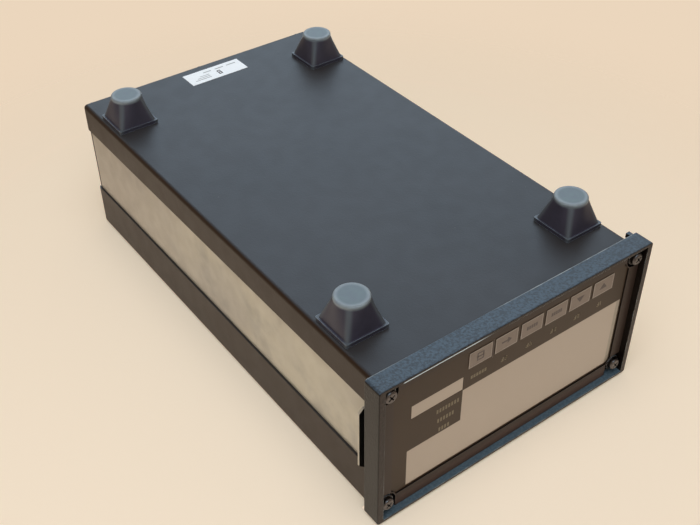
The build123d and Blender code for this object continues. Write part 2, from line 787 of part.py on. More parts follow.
with BuildPart() as serial_port:
    with BuildSketch(face_plane(rear_panel_out)):
        with Locations((serial_x, serial_z)):
            RectangleRounded(*serial_flange, 1.5)
        with Locations(*jackscrew_points):
            Circle(jackscrew_hole_radius, mode=Mode.SUBTRACT)
    extrude(amount=-serial_flange_thickness)
    with BuildSketch(face_plane(rear_panel_out)):
        with Locations((serial_x, serial_z)):
            Rectangle(*serial_body)
    extrude(amount=serial_body_depth)
    with BuildSketch(face_plane(rear_panel_out)):
        with Locations((serial_x, serial_z)):
            Trapezoid(*serial_shell, serial_shell_slope, rotation=180)
    extrude(amount=-serial_reach)
    with BuildSketch(face_plane(rear_panel_out + serial_reach)):
        with Locations((serial_x, serial_z)):
            Trapezoid(
                serial_shell[0] - 2 * serial_shell_wall, serial_shell[1] - 2 * serial_shell_wall,
                serial_shell_slope, rotation=180,
            )
    extrude(amount=serial_pocket, mode=Mode.SUBTRACT)
    with BuildSketch(face_plane(rear_panel_out + serial_reach - serial_pocket)):
        for row_z, count in ((pin_row_z, 5), (-pin_row_z, 4)):
            with Locations((serial_x, serial_z + row_z)):
                with GridLocations(pin_pitch, 1, count, 1):
                    Circle(serial_pin_radius)
    extrude(amount=1 - serial_pocket)
save(serial_port, "serial_port")

with BuildPart() as serial_jackscrews:
    with BuildSketch(face_plane(rear_panel_out + serial_flange_thickness)):
        with Locations(*jackscrew_points):
            RegularPolygon(jackscrew_half_width, 6, major_radius=False)
    extrude(amount=-jackscrew_head)
    with BuildSketch(face_plane(rear_panel_out + serial_flange_thickness)):
        with Locations(*jackscrew_points):
            Circle(jackscrew_thread)
    extrude(amount=7.0)
    with BuildSketch(face_plane(rear_panel_out + serial_flange_thickness + jackscrew_head)):
        with Locations(*jackscrew_points):
            Circle(jackscrew_bore)
    extrude(amount=4.5, mode=Mode.SUBTRACT)
save(serial_jackscrews, "serial_jackscrews")

# --- Main board, its standoffs and screws ------------------------------------------------------
board_low = inner_low + 9.0
board_top = board_low + board_thickness
board_half_width = 88.0
board_front = case_front + 28.0
board_rear = case_front + 268.0
board_mid_y = (board_front + board_rear) / 2
standoff_inset = 8.0
standoff_x = board_half_width - standoff_inset
standoff_pitch = (board_rear - board_front) / 2 - standoff_inset
standoff_points = [(x, board_mid_y + n * standoff_pitch) for x in (-standoff_x, standoff_x) for n in (-1, 0, 1)]
standoff_half_width = 3.0
standoff_bore = 1.5
board_screw_radius = 1.45
board_screw_head = 2.8
board_screw_length = 7.0

with BuildPart() as main_board:
    with BuildSketch(Plane.XY.offset(board_low)):
        with Locations((0, board_mid_y)):
            RectangleRounded(2 * board_half_width, board_rear - board_front, 2.0)
        with Locations(*standoff_points):
            Circle(board_hole_radius, mode=Mode.SUBTRACT)
    extrude(amount=board_thickness)
save(main_board, "main_board")

with BuildPart() as board_standoffs:
    with BuildSketch(Plane.XY.offset(inner_low)):
        with Locations(*standoff_points):
            RegularPolygon(standoff_half_width, 6, major_radius=False)
            Circle(standoff_bore, mode=Mode.SUBTRACT)
    extrude(amount=board_low - inner_low)
save(board_standoffs, "board_standoffs")

with BuildPart() as board_screws:
    with BuildSketch(Plane.XY.offset(board_top)):
        with Locations(*standoff_points):
            Circle(board_screw_head)
    extrude(amount=2.0)
    with BuildSketch(Plane.XY.offset(board_top)):
        with Locations(*standoff_points):
            Circle(board_screw_radius)
    extrude(amount=-board_screw_length)
save(board_screws, "board_screws")

# --- Parts on the main board -------------------------------------------------------------------
chip_columns = (-66, -50, 52, 68)
chip_pitch = 24.0
chip_points = [(x, board_front + 60 + chip_pitch * n) for x in chip_columns for n in range(3)]
chip_size = (7.6, 19.6)
chip_height = 3.8
can_height = 19.0            # reference oscillator
shield_x = (16.0, 82.0)
shield_y = (board_rear - 52.0, board_rear - 12.0)
shield_height = 16.0
shield_wall = 0.6
capacitor_points = [(-70 + 22 * n, board_rear - 24) for n in range(3)]
capacitor_radius = 9.0
capacitor_height = 31.0
heatsink_x = (-76.0, -30.0)
heatsink_back = board_rear - 66.0
heatsink_base = 3.0
heatsink_depth = 16.0
heatsink_z = (board_top + 1, board_top + 31)
fin_pitch = 6.3
fin_thickness = 1.6

with BuildPart() as processor_chip:
    block((-16, 16), (board_front + 62, board_front + 94), (board_top, board_top + 4.2))
    chamfer(processor_chip.edges().filter_by(Axis.Z), length=1.2)
save(processor_chip, "processor_chip")

with BuildPart() as counter_chip:
    block((-14, 14), (board_front + 118, board_front + 146), (board_top, board_top + 3.4))
    chamfer(counter_chip.edges().filter_by(Axis.Z), length=1.0)
save(counter_chip, "counter_chip")

with BuildPart() as logic_chips:
    with BuildSketch(Plane.XY.offset(board_top)):
        with Locations(*chip_points):
            Rectangle(*chip_size)
    extrude(amount=chip_height)
save(logic_chips, "logic_chips")

with BuildPart() as reference_oscillator:
    block((24, 60), (board_rear - 96, board_rear - 69), (board_top, board_top + can_height))
    fillet(reference_oscillator.edges().filter_by(Axis.Z), radius=2.5)
    fillet(reference_oscillator.faces().sort_by(Axis.Z)[-1].edges(), radius=1.0)
save(reference_oscillator, "reference_oscillator")

with BuildPart() as input_shield:
    block(shield_x, shield_y, (board_top, board_top + shield_height))
    block((shield_x[0] + shield_wall, shield_x[1] - shield_wall),
          (shield_y[0] + shield_wall, shield_y[1] - shield_wall),
          (board_top, board_top + shield_height - shield_wall), Mode.SUBTRACT)
save(input_shield, "input_shield")

with BuildPart() as smoothing_capacitors:
    with BuildSketch(Plane.XY.offset(board_top)):
        with Locations(*capacitor_points):
            Circle(capacitor_radius)
    extrude(amount=capacitor_height)
    fillet(smoothing_capacitors.faces().group_by(Axis.Z)[-1].edges(), radius=1.0)
save(smoothing_capacitors, "smoothing_capacitors")

with BuildPart() as regulator_heatsink:
    block(heatsink_x, (heatsink_back, heatsink_back + heatsink_base), heatsink_z)
    for fin in range(8):
        fin_x = heatsink_x[0] + fin * fin_pitch
        block((fin_x, fin_x + fin_thickness),
              (heatsink_back + heatsink_base, heatsink_back + heatsink_depth), heatsink_z)
save(regulator_heatsink, "regulator_heatsink")

with BuildPart() as voltage_regulators:
    for regulator_x in (-64, -42):
        block((regulator_x - 5, regulator_x + 5), (heatsink_back - 1.3, heatsink_back),
              (board_top + 6, board_top + 21.5))
        block((regulator_x - 5, regulator_x + 5), (heatsink_back - 4.5, heatsink_back - 1.3),
              (board_top + 6, board_top + 15))
save(voltage_regulators, "voltage_regulators")

# --- Mains transformer -------------------------------------------------------------------------
core_x = -57.0
core_y = case_front + 304.0
core_width = 64.0
core_height = 50.0
core_mid_z = inner_low + gap + core_height / 2
core_depth = 32.0
limb_width = 12.0
core_gap = (14.0, 32.0)      # openings either side of the limb that carries the winding
core_gap_x = (limb_width + core_gap[0]) / 2
winding_margin = 0.4         # from the core, at both ends

with BuildPart() as transformer_core:
    with BuildSketch(face_plane(core_y)):
        with Locations((core_x, core_mid_z)):
            Rectangle(core_width, core_height)
            with Locations((-core_gap_x, 0), (core_gap_x, 0)):
                Rectangle(*core_gap, mode=Mode.SUBTRACT)
    extrude(amount=core_depth / 2, both=True)
save(transformer_core, "transformer_core")

with BuildPart() as transformer_winding:
    with BuildSketch(Plane.XY.offset(core_mid_z)):
        with Locations((core_x, core_y)):
            RectangleRounded(limb_width + 2 * core_gap[0] - 0.6, core_depth + 16, 5.0)
            Rectangle(limb_width + 0.4, core_depth + 0.4, mode=Mode.SUBTRACT)
    extrude(amount=core_gap[1] / 2 - winding_margin, both=True)
save(transformer_winding, "transformer_winding")

# --- Ribbon cable from the display board to the main board -------------------------------------
ribbon_half_width = 16.0
ribbon_thickness = 1.0
header_end = 2.0             # header past the ribbon at each side
header_reach = 6.0           # display board's header
header_height = 9.0          # main board's header
header_half_depth = 4.0
ribbon_z = 68.0
ribbon_start_y = front_y + module_board_depth + board_thickness + header_reach
ribbon_end_y = board_front + 12.0

with BuildPart() as ribbon_headers:
    header_x = (-ribbon_half_width - header_end, ribbon_half_width + header_end)
    block(header_x, (ribbon_start_y - header_reach, ribbon_start_y),
          (ribbon_z - header_half_depth, ribbon_z + header_half_depth))
    block(header_x, (ribbon_end_y - header_half_depth, ribbon_end_y + header_half_depth),
          (board_top, board_top + header_height))
save(ribbon_headers, "ribbon_headers")

with BuildPart() as ribbon_cable:
    with BuildSketch(Plane.YZ):
        with BuildLine():
            FilletPolyline(
                (ribbon_start_y, ribbon_z), (ribbon_end_y, ribbon_z), (ribbon_end_y, board_top + header_height),
                radius=12,
            )
        trace(line_width=ribbon_thickness)
    extrude(amount=ribbon_half_width, both=True)
save(ribbon_cable, "ribbon_cable")
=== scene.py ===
import json
import math

import bmesh
import bpy
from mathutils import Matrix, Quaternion, Vector


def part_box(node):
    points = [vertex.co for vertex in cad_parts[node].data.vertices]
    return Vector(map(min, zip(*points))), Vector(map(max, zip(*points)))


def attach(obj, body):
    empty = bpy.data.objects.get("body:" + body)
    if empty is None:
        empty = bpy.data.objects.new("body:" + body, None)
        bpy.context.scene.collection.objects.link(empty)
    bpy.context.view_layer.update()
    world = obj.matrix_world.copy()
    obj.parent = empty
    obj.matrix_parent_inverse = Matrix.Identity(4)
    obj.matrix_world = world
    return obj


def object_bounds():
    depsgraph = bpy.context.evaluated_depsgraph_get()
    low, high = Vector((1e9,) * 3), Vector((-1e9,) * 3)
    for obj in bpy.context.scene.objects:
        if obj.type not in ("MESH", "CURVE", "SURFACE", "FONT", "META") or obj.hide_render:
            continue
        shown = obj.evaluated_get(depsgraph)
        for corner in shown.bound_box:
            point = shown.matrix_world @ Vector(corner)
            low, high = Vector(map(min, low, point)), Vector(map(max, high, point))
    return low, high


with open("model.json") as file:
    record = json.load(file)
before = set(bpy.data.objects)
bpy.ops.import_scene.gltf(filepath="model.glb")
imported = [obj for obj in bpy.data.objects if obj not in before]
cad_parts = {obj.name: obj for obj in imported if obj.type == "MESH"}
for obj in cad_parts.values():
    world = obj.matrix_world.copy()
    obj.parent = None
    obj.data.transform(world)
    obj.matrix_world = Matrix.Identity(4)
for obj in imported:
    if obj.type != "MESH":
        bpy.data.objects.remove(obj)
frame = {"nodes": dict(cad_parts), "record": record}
cad_low, cad_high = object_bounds()

# Looks of the bench frequency counter. Everything is in metres, in the instrument's own frame:
# +Z up, the front faces -Y. The main picture shows it lying on its top cover, so the main camera
# stands below the upright instrument and is rolled half a turn.

MM = 0.001
TOP = cad_high.z
CENTRE = (cad_low + cad_high) / 2


def linear(red, green, blue):
    """Scene-linear colour of an everyday 0-255 one."""
    shares = [channel / 255 for channel in (red, green, blue)]
    return tuple(s / 12.92 if s <= 0.04045 else ((s + 0.055) / 1.055) ** 2.4 for s in shares)


def view_back(azimuth, elevation):
    """Unit vector from what is looked at towards a viewer at these angles, in degrees."""
    turn, rise = math.radians(azimuth), math.radians(elevation)
    return Vector((math.sin(turn) * math.cos(rise), -math.cos(turn) * math.cos(rise), math.sin(rise)))


# --- Camera -----------------------------------------------------------------------------------------
CAMERA_AIM = Vector((1.4, -23.1, 90.5)) * MM
CAMERA_DISTANCE = 0.7205
CAMERA_AZIMUTH = 36.05
CAMERA_ELEVATION = -39.37
CAMERA_ROLL = 179.44
CAMERA_LENS = 52.27


def add_camera():
    """The main picture's camera."""
    data = bpy.data.cameras.new("camera")
    data.lens = CAMERA_LENS
    data.clip_start, data.clip_end = 0.01, 20
    camera = bpy.data.objects.new("camera", data)
    back = view_back(CAMERA_AZIMUTH, CAMERA_ELEVATION)
    camera.location = CAMERA_AIM + back * CAMERA_DISTANCE
    camera.rotation_mode = "QUATERNION"
    level = (-back).to_track_quat("-Z", "Y")
    camera.rotation_quaternion = level @ Quaternion((0, 0, 1), math.radians(CAMERA_ROLL))
    bpy.context.scene.collection.objects.link(camera)
    bpy.context.scene.camera = camera


# --- Material tools ------------------------------------------------------------------------------------
class Finish:
    """A material being built, with short calls for its patterns.

    Patterns are laid out in the instrument's frame in metres, so their sizes are real sizes.
    """

    def __init__(self, name, colour, roughness, **sockets):
        self.material = bpy.data.materials.new(name)
        self.material.use_nodes = True
        self.nodes = self.material.node_tree.nodes
        self.links = self.material.node_tree.links
        self.shader = self.nodes["Principled BSDF"]
        self.normal = None
        self.set("Base Color", colour)
        self.set("Roughness", roughness)
        for socket, value in sockets.items():
            self.set(socket.replace("_", " ").title().replace("Ior", "IOR"), value)

    def feed(self, socket, value):
        """Link an output into a socket, or set the socket's own value."""
        if isinstance(value, bpy.types.NodeSocket):
            self.links.new(value, socket)
        elif isinstance(value, tuple) and len(value) == 3 and socket.type == "RGBA":
            socket.default_value = (*value, 1)
        else:
            socket.default_value = value

    def set(self, socket, value):
        """Feed one of the shader's own sockets."""
        self.feed(self.shader.inputs[socket], value)

    def node(self, kind, inputs=(), **settings):
        """Add a node, with its settings and what goes into its sockets."""
        made = self.nodes.new("ShaderNode" + kind)
        for name, value in settings.items():
            setattr(made, name, value)
        for socket, value in dict(inputs).items():
            self.feed(made.inputs[socket], value)
        return made

    def place(self, stretch=(1, 1, 1), shift=(0, 0, 0)):
        """Position in the instrument's frame, stretched and shifted for a pattern."""
        point = self.node("TexCoord").outputs["Object"]
        values = {"Vector": point, "Scale": stretch, "Location": shift}
        return self.node("Mapping", values).outputs["Vector"]

    def along(self, axis):
        """Position along X, Y or Z in metres."""
        return self.node("SeparateXYZ", {"Vector": self.place()}).outputs[axis]

    def noise(self, size, detail=2.0, stretch=(1, 1, 1), shift=(0, 0, 0), distortion=0.0):
        """Cloudy 0 to 1 pattern whose blobs are about size across."""
        values = {"Vector": self.place(stretch, shift), "Scale": 1 / size, "Detail": detail,
                  "Distortion": distortion}
        return self.node("TexNoise", values).outputs["Fac"]

    def cells(self, size, feature="F1", stretch=(1, 1, 1)):
        """Distance pattern of cells about size across."""
        values = {"Vector": self.place(stretch), "Scale": 1 / size}
        return self.node("TexVoronoi", values, feature=feature).outputs["Distance"]

    def rise(self, value, low, high, top=1.0, bottom=0.0):
        """Smooth step of a value, from bottom at low to top at high."""
        values = {"Value": value, "From Min": low, "From Max": high, "To Min": bottom, "To Max": top}
        return self.node("MapRange", values, interpolation_type="SMOOTHSTEP").outputs["Result"]

    def fall(self, value, low, high, top=1.0):
        """Smooth step down, from top at low to 0 at high."""
        return self.rise(value, low, high, bottom=top, top=0.0)

    def maths(self, operation, first, second=0.0):
        """Result of one operation on two numbers or outputs."""
        made = self.node("Math", operation=operation)
        self.feed(made.inputs[0], first)
        self.feed(made.inputs[1], second)
        return made.outputs[0]

    def product(self, first, *others):
        """All of these 0 to 1 patterns multiplied together."""
        for other in others:
            first = self.maths("MULTIPLY", first, other)
        return first

    def distance(self, axis, place):
        """How far a point is from a place along an axis."""
        return self.maths("ABSOLUTE", self.maths("SUBTRACT", self.along(axis), place))

    def band(self, axis, low, high, soft):
        """1 between two positions along an axis, 0 outside, with soft edges."""
        value = self.along(axis)
        start = self.rise(value, low - soft, low + soft)
        return self.product(start, self.fall(value, high - soft, high + soft))

    def facing(self, axis, low=0.4, high=0.7):
        """1 on faces that look along an axis of the instrument, such as "X", "-Y" or "-Z"."""
        normal = self.node("NewGeometry").outputs["Normal"]
        share = self.node("SeparateXYZ", {"Vector": normal}).outputs[axis[-1]]
        if axis[0] == "-":
            share = self.maths("MULTIPLY", share, -1.0)
        return self.rise(share, low, high)

    def sides(self):
        """1 on faces that look to the instrument's left or right."""
        return self.maths("MAXIMUM", self.facing("X"), self.facing("-X"))

    def edges(self, radius):
        """1 along the convex and concave edges, within about radius of them, 0 on flat faces."""
        soft = self.node("Bevel", {"Radius": radius}, samples=2).outputs["Normal"]
        hard = self.node("NewGeometry").outputs["Normal"]
        match = self.node("VectorMath", {0: soft, 1: hard}, operation="DOT_PRODUCT").outputs["Value"]
        return self.fall(match, 0.75, 0.97)

    def blend(self, share, low, high):
        """Colour between two, by a 0 to 1 share."""
        made = self.node("Mix", data_type="RGBA")
        self.feed(made.inputs["Factor"], share)
        self.feed(made.inputs[6], low)
        self.feed(made.inputs[7], high)
        return made.outputs[2]

    def relief(self, height, depth, strength=1.0):
        """Bump the surface by a 0 to 1 height times depth, on top of any earlier relief."""
        values = {"Height": height, "Distance": depth, "Strength": strength}
        if self.normal is not None:
            values["Normal"] = self.normal
        self.normal = self.node("Bump", values).outputs["Normal"]
        self.set("Normal", self.normal)


def lighter(colour, factor):
    """The colour times a factor, darker where that is below 1."""
    return tuple(min(1.0, channel * factor) for channel in colour)


# --- Finishes, one function each ----------------------------------------------------------------------
PAINT = (0.031, 0.029, 0.031)
SIDE_WARM_LIGHT_PAINT = (0.0230, 0.0095, 0.0035)    # the covers' sides, a warmer brown than their other faces: painted warm light from the floor
WORN_METAL = (0.50, 0.55, 0.56)
# Bare metal of the rim's line, brightened to pale blue-white as a painted highlight.
BRIGHT_METAL_HIGHLIGHT = (0.74, 0.90, 1.0)
SHADOW_BLACK = (0.004, 0.004, 0.004)
# Near black of the side panels' lip faces that look forward: painted shade behind the bezel.
SHADED_CUT_EDGE = (0.006, 0.006, 0.006)
BEZEL_LOW, BEZEL_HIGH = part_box("front_bezel")
PANEL_LOW, PANEL_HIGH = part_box("front_panel")
OVERLAY_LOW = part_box("keypad_overlay")[0]
RIM_BACK = BEZEL_HIGH.y - 5.6 * MM       # back of the bezel's rim, in front of its nub


def cover_paint():
    """Fine textured dark powder coat of the two covers, with painted warm light on their sides."""
    made = Finish("cover_paint", PAINT, 0.42, specular_ior_level=0.35)
    clouds = made.noise(0.09, detail=2)
    tone = made.blend(made.rise(clouds, 0.3, 0.7), lighter(PAINT, 0.93), lighter(PAINT, 1.07))
    side_warm_light_tone = made.blend(clouds, lighter(SIDE_WARM_LIGHT_PAINT, 0.9), lighter(SIDE_WARM_LIGHT_PAINT, 1.1))
    # The sides take the warmer brown as painted warm light; the paint itself is the same all round.
    tone = made.blend(made.sides(), tone, side_warm_light_tone)
    specks = made.fall(made.cells(0.006), 0.04, 0.06)
    dust = made.product(specks, made.rise(made.noise(0.025), 0.62, 0.66))
    made.set("Base Color", made.blend(dust, tone, lighter(PAINT, 4)))
    made.set("Roughness", made.rise(made.noise(0.012, detail=2), 0.3, 0.7, bottom=0.41, top=0.45))
    made.relief(made.noise(0.0020, detail=1), 0.00004)
    made.relief(made.noise(0.0007, detail=1), 0.00005)
    return made.material


def bezel_tone_and_light(made):
    """Crinkle paint of the bezel: brown, darker on its sides as painted shade, and blue-green on the
    faces that look down as painted cool light, paler inside the top.
    """
    grains = made.rise(made.noise(0.0015, detail=2), 0.36, 0.64)
    brown = made.blend(grains, (0.012, 0.006, 0.005), (0.026, 0.014, 0.011))
    # Blue-green of the downward faces: painted cool light, not the paint's own colour; paler on the
    # rim's inner wall at the top.
    cool_light_teal = made.blend(grains, (0.033, 0.044, 0.058), (0.058, 0.088, 0.122))
    pale_cool_light_teal = made.blend(grains, (0.070, 0.108, 0.140), (0.098, 0.148, 0.185))
    inside_top = made.rise(made.along("Z"), BEZEL_HIGH.z - 9 * MM, BEZEL_HIGH.z - 8 * MM)
    # The sides are darkened as painted shade.
    brown = made.blend(made.sides(), brown, (0.006, 0.003, 0.002))
    return made.blend(made.facing("-Z"), brown, made.blend(inside_top, cool_light_teal, pale_cool_light_teal))


def bezel_wear(made):
    """Where the bezel's edges are rubbed through: at random along every edge, and along the back of
    its underside towards both ends."""
    patches = made.rise(made.noise(0.016, detail=3), 0.42, 0.62)
    across = made.along("X")
    back_edge = made.rise(made.along("Y"), RIM_BACK - 1.0 * MM, RIM_BACK - 0.2 * MM)
    low_face = made.fall(made.along("Z"), BEZEL_LOW.z + 0.3 * MM, BEZEL_LOW.z + 0.6 * MM)
    left_end = made.fall(across, -5 * MM, 20 * MM)
    right_end = made.rise(across, 72 * MM, 98 * MM)
    ends = made.maths("MAXIMUM", left_end, right_end)
    rubbed = made.product(back_edge, low_face, ends, made.rise(patches, 0.0, 1.0, bottom=0.45))
    worn = made.product(made.edges(0.0005), made.rise(patches, 0.0, 1.0, bottom=0.2))
    return made.maths("MAXIMUM", worn, rubbed)


def bezel_bare_highlight_line(made):
    """The bare line along the front of the rim under the panel, on its right-hand part, coloured pale
    blue-white as a painted highlight.
    """
    lip = made.band("Z", PANEL_LOW.z - 0.85 * MM, PANEL_LOW.z - 0.05 * MM, 0.15 * MM)
    front = made.fall(made.along("Y"), BEZEL_LOW.y + 0.9 * MM, BEZEL_LOW.y + 1.3 * MM)
    start = made.rise(made.along("X"), 24 * MM, 42 * MM)
    end = made.fall(made.along("X"), 88 * MM, 90 * MM)
    return made.product(lip, front, start, end)


def bezel_paint():
    """Coarser crinkle paint of the bezel, rubbed through along its edges, with painted light on its
    faces and a painted highlight along the rim.
    """
    made = Finish("bezel_paint", PAINT, 0.38, specular_ior_level=0.35)
    tone = made.blend(bezel_wear(made), bezel_tone_and_light(made), WORN_METAL)
    # Bare line along the rim, brightened to blue-white as a painted highlight.
    made.set("Base Color", made.blend(bezel_bare_highlight_line(made), tone, BRIGHT_METAL_HIGHLIGHT))
    made.relief(made.cells(0.0012, "SMOOTH_F1"), 0.00016)
    made.relief(made.noise(0.0006, detail=1), 0.00005)
    return made.material


def panel_paint():
    """Satin paint of the front and rear panels, lighter at the top as painted light, and painted shadow
    black in the overlay's pocket.
    """
    colour = (0.040, 0.024, 0.018)
    made = Finish("panel_paint", colour, 0.5, specular_ior_level=0.4)
    clouds = made.noise(0.03, detail=3)
    tone = made.blend(clouds, lighter(colour, 0.8), lighter(colour, 1.2))
    lit_near_top = made.rise(made.along("Z"), PANEL_HIGH.z - 9 * MM, PANEL_HIGH.z - 4 * MM)
    # Lighter near the top: painted light on the ledge under the rim.
    tone = made.blend(lit_near_top, tone, lighter(colour, 1.9))
    pocket = made.band("Y", PANEL_LOW.y + 0.05 * MM, PANEL_HIGH.y + 1 * MM, 0.04 * MM)
    # The overlay's pocket is painted black as shadow.
    made.set("Base Color", made.blend(pocket, tone, SHADOW_BLACK))
    made.relief(made.noise(0.0009, detail=2), 0.00003)
    return made.material


def overlay():
    """Dark printed polyester film round the keys, faded towards brown."""
    colour = (0.037, 0.018, 0.0065)
    made = Finish("overlay_film", colour, 0.42, specular_ior_level=0.38)
    tone = made.blend(made.noise(0.03, detail=3), lighter(colour, 0.85), lighter(colour, 1.15))
    made.set("Base Color", tone)
    made.relief(made.noise(0.0003, detail=1), 0.00001)
    return made.material


def key_print():
    """Pale grey caps of the keys."""
    colour = linear(132, 119, 110)
    made = Finish("key_cap", colour, 0.45)
    tone = made.blend(made.noise(0.006, detail=3), lighter(colour, 0.88), lighter(colour, 1.08))
    made.set("Base Color", tone)
    made.relief(made.noise(0.0003, detail=1), 0.00001)
    return made.material


def window():
    """Pale reflective display behind a satin window, a little greyer towards its left end."""
    colour = linear(180, 166, 152)
    made = Finish("display_window", colour, 0.3, coat_weight=0.3, coat_roughness=0.15)
    tone = made.blend(made.noise(0.06, detail=2), lighter(colour, 0.94), lighter(colour, 1.03))
    end = made.fall(made.along("X"), OVERLAY_LOW.x + 4.0 * MM, OVERLAY_LOW.x + 4.6 * MM)
    made.set("Base Color", made.blend(end, tone, linear(150, 140, 126)))
    return made.material


def bare_aluminium():
    """Dull mottled aluminium of the side panels, smudged with handling marks, with a painted highlight
    along the lowest strip and painted shade on the faces that look forward.
    """
    light, dark, smudge = linear(206, 200, 184), linear(186, 180, 170), linear(160, 156, 150)
    made = Finish("side_aluminium", light, 0.5, metallic=0.45)
    clouds = made.noise(0.06, detail=6, stretch=(1, 0.7, 1))
    tone = made.blend(made.rise(clouds, 0.3, 0.7), dark, light)
    marks = made.rise(made.noise(0.03, detail=6, shift=(0.3, 0.1, 0.2)), 0.48, 0.8, top=0.7)
    tone = made.blend(marks, tone, smudge)
    rear = made.rise(made.along("Y"), -20 * MM, 170 * MM, top=0.55)
    tone = made.blend(rear, tone, linear(182, 172, 160))
    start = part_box("bottom_cover")[1].z
    # A painted highlight along the lowest strip, next to the bottom cover.
    edge_highlight = made.fall(made.along("Z"), start + 0.9 * MM, start + 2.0 * MM, top=0.7)
    tone = made.blend(edge_highlight, tone, (0.95, 0.95, 0.90))
    # Faces that look forward, the lips close behind the bezel, are painted near black as shade.
    made.set("Base Color", made.blend(made.facing("-Y"), tone, SHADED_CUT_EDGE))
    made.set("Roughness", made.rise(made.noise(0.01, detail=4), 0.3, 0.7, bottom=0.42, top=0.62))
    made.relief(made.noise(0.0012, detail=2, stretch=(1, 0.15, 1)), 0.00001)
    return made.material


def foot_rubber(node):
    """Rubber foot: dark rubber sides, lighter and bluish along the corner ridges; the face it stands on
    painted pale blue-grey as a reflection of cool light, lighter towards its rim and scuffed; a painted
    highlight along the flange's outer lip.
    """
    colour = (0.038, 0.036, 0.056)
    made = Finish(node + "_rubber", colour, 0.42)
    sides = made.blend(made.noise(0.006, detail=3), lighter(colour, 0.85), lighter(colour, 1.3))
    low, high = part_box(node)
    centre = (low + high) / 2
    across, along = made.distance("X", centre.x), made.distance("Y", centre.y)
    off_corner = made.maths("ABSOLUTE", made.maths("SUBTRACT", across, along))
    ridge = made.fall(off_corner, 0.8 * MM, 4.2 * MM, top=0.9)
    sides = made.blend(ridge, sides, (0.085, 0.100, 0.118))
    squares = made.maths("ADD", made.maths("POWER", across, 2.0), made.maths("POWER", along, 2.0))
    radius = made.maths("SQRT", squares)
    rim = made.rise(radius, 7.2 * MM, 9.4 * MM)
    scuffs = made.rise(made.noise(0.005, detail=4), 0.3, 0.7, bottom=0.75)
    # The face the foot stands on: pale blue-grey painted reflection of the cool light over dark rubber.
    pad_sky_reflection = made.blend(rim, (0.135, 0.185, 0.205), (0.250, 0.305, 0.335))
    pad_sky_reflection = made.blend(scuffs, lighter(colour, 3.0), pad_sky_reflection)
    face = made.fall(made.along("Z"), 1.2 * MM, 3.2 * MM)
    tone = made.blend(face, sides, pad_sky_reflection)
    flange = high.z - 2.8 * MM
    lip = made.rise(made.along("Z"), flange, flange + 0.1 * MM)
    outer = made.rise(made.maths("MAXIMUM", across, along), 14.0 * MM, 14.4 * MM)
    # Pale blue line along the flange's outer lip: painted highlight.
    edge_highlight = made.product(made.edges(0.0007), lip, outer)
    made.set("Base Color", made.blend(edge_highlight, tone, (0.26, 0.34, 0.40)))
    made.relief(made.noise(0.0005, detail=2), 0.00002)
    return made.material


def label_film():
    """White film of the asset label, a little glossy and uneven."""
    colour = linear(252, 254, 255)
    gloss = {"specular_ior_level": 1.0, "coat_weight": 0.6, "coat_roughness": 0.4}
    made = Finish("label_film", colour, 0.35, **gloss)
    made.set("Base Color", made.blend(made.noise(0.01, detail=2), colour, lighter(colour, 0.93)))
    made.relief(made.noise(0.003, detail=1), 0.00002)
    return made.material


def metal(name, colour, roughness, grain=0.0004, depth=0.000006, stretch=(1, 1, 1)):
    """Plated or machined metal with a fine grain."""
    made = Finish(name, colour, roughness, metallic=1.0)
    made.set("Base Color", made.blend(made.noise(0.004, detail=3), lighter(colour, 0.82), colour))
    spread = made.noise(0.002, detail=4)
    made.set("Roughness", made.rise(spread, 0.3, 0.7, bottom=roughness * 0.8, top=roughness * 1.25))
    made.relief(made.noise(grain, detail=2, stretch=stretch), depth)
    return made.material


def plastic(name, colour, roughness, grain=0.0004, depth=0.00002):
    """Moulded plastic with a spark-eroded grain."""
    made = Finish(name, colour, roughness)
    tone = made.blend(made.noise(0.006, detail=3), lighter(colour, 0.88), lighter(colour, 1.12))
    made.set("Base Color", tone)
    made.relief(made.noise(grain, detail=2), depth)
    return made.material


def board_laminate():
    """Green circuit board with a faint weave and tracks under the mask."""
    dark, light = linear(22, 66, 40), linear(44, 102, 62)
    made = Finish("board_laminate", dark, 0.35)
    tracks = made.rise(made.cells(0.004, "DISTANCE_TO_EDGE"), 0.02, 0.05)
    made.set("Base Color", made.blend(tracks, light, dark))
    made.relief(tracks, 0.00003)
    return made.material


def fuse_glass():
    """Clear glass of the fuse's tube."""
    made = Finish("fuse_glass", (0.9, 0.95, 0.93), 0.05, transmission_weight=0.9, ior=1.5)
    made.relief(made.noise(0.003, detail=1), 0.000005)
    return made.material


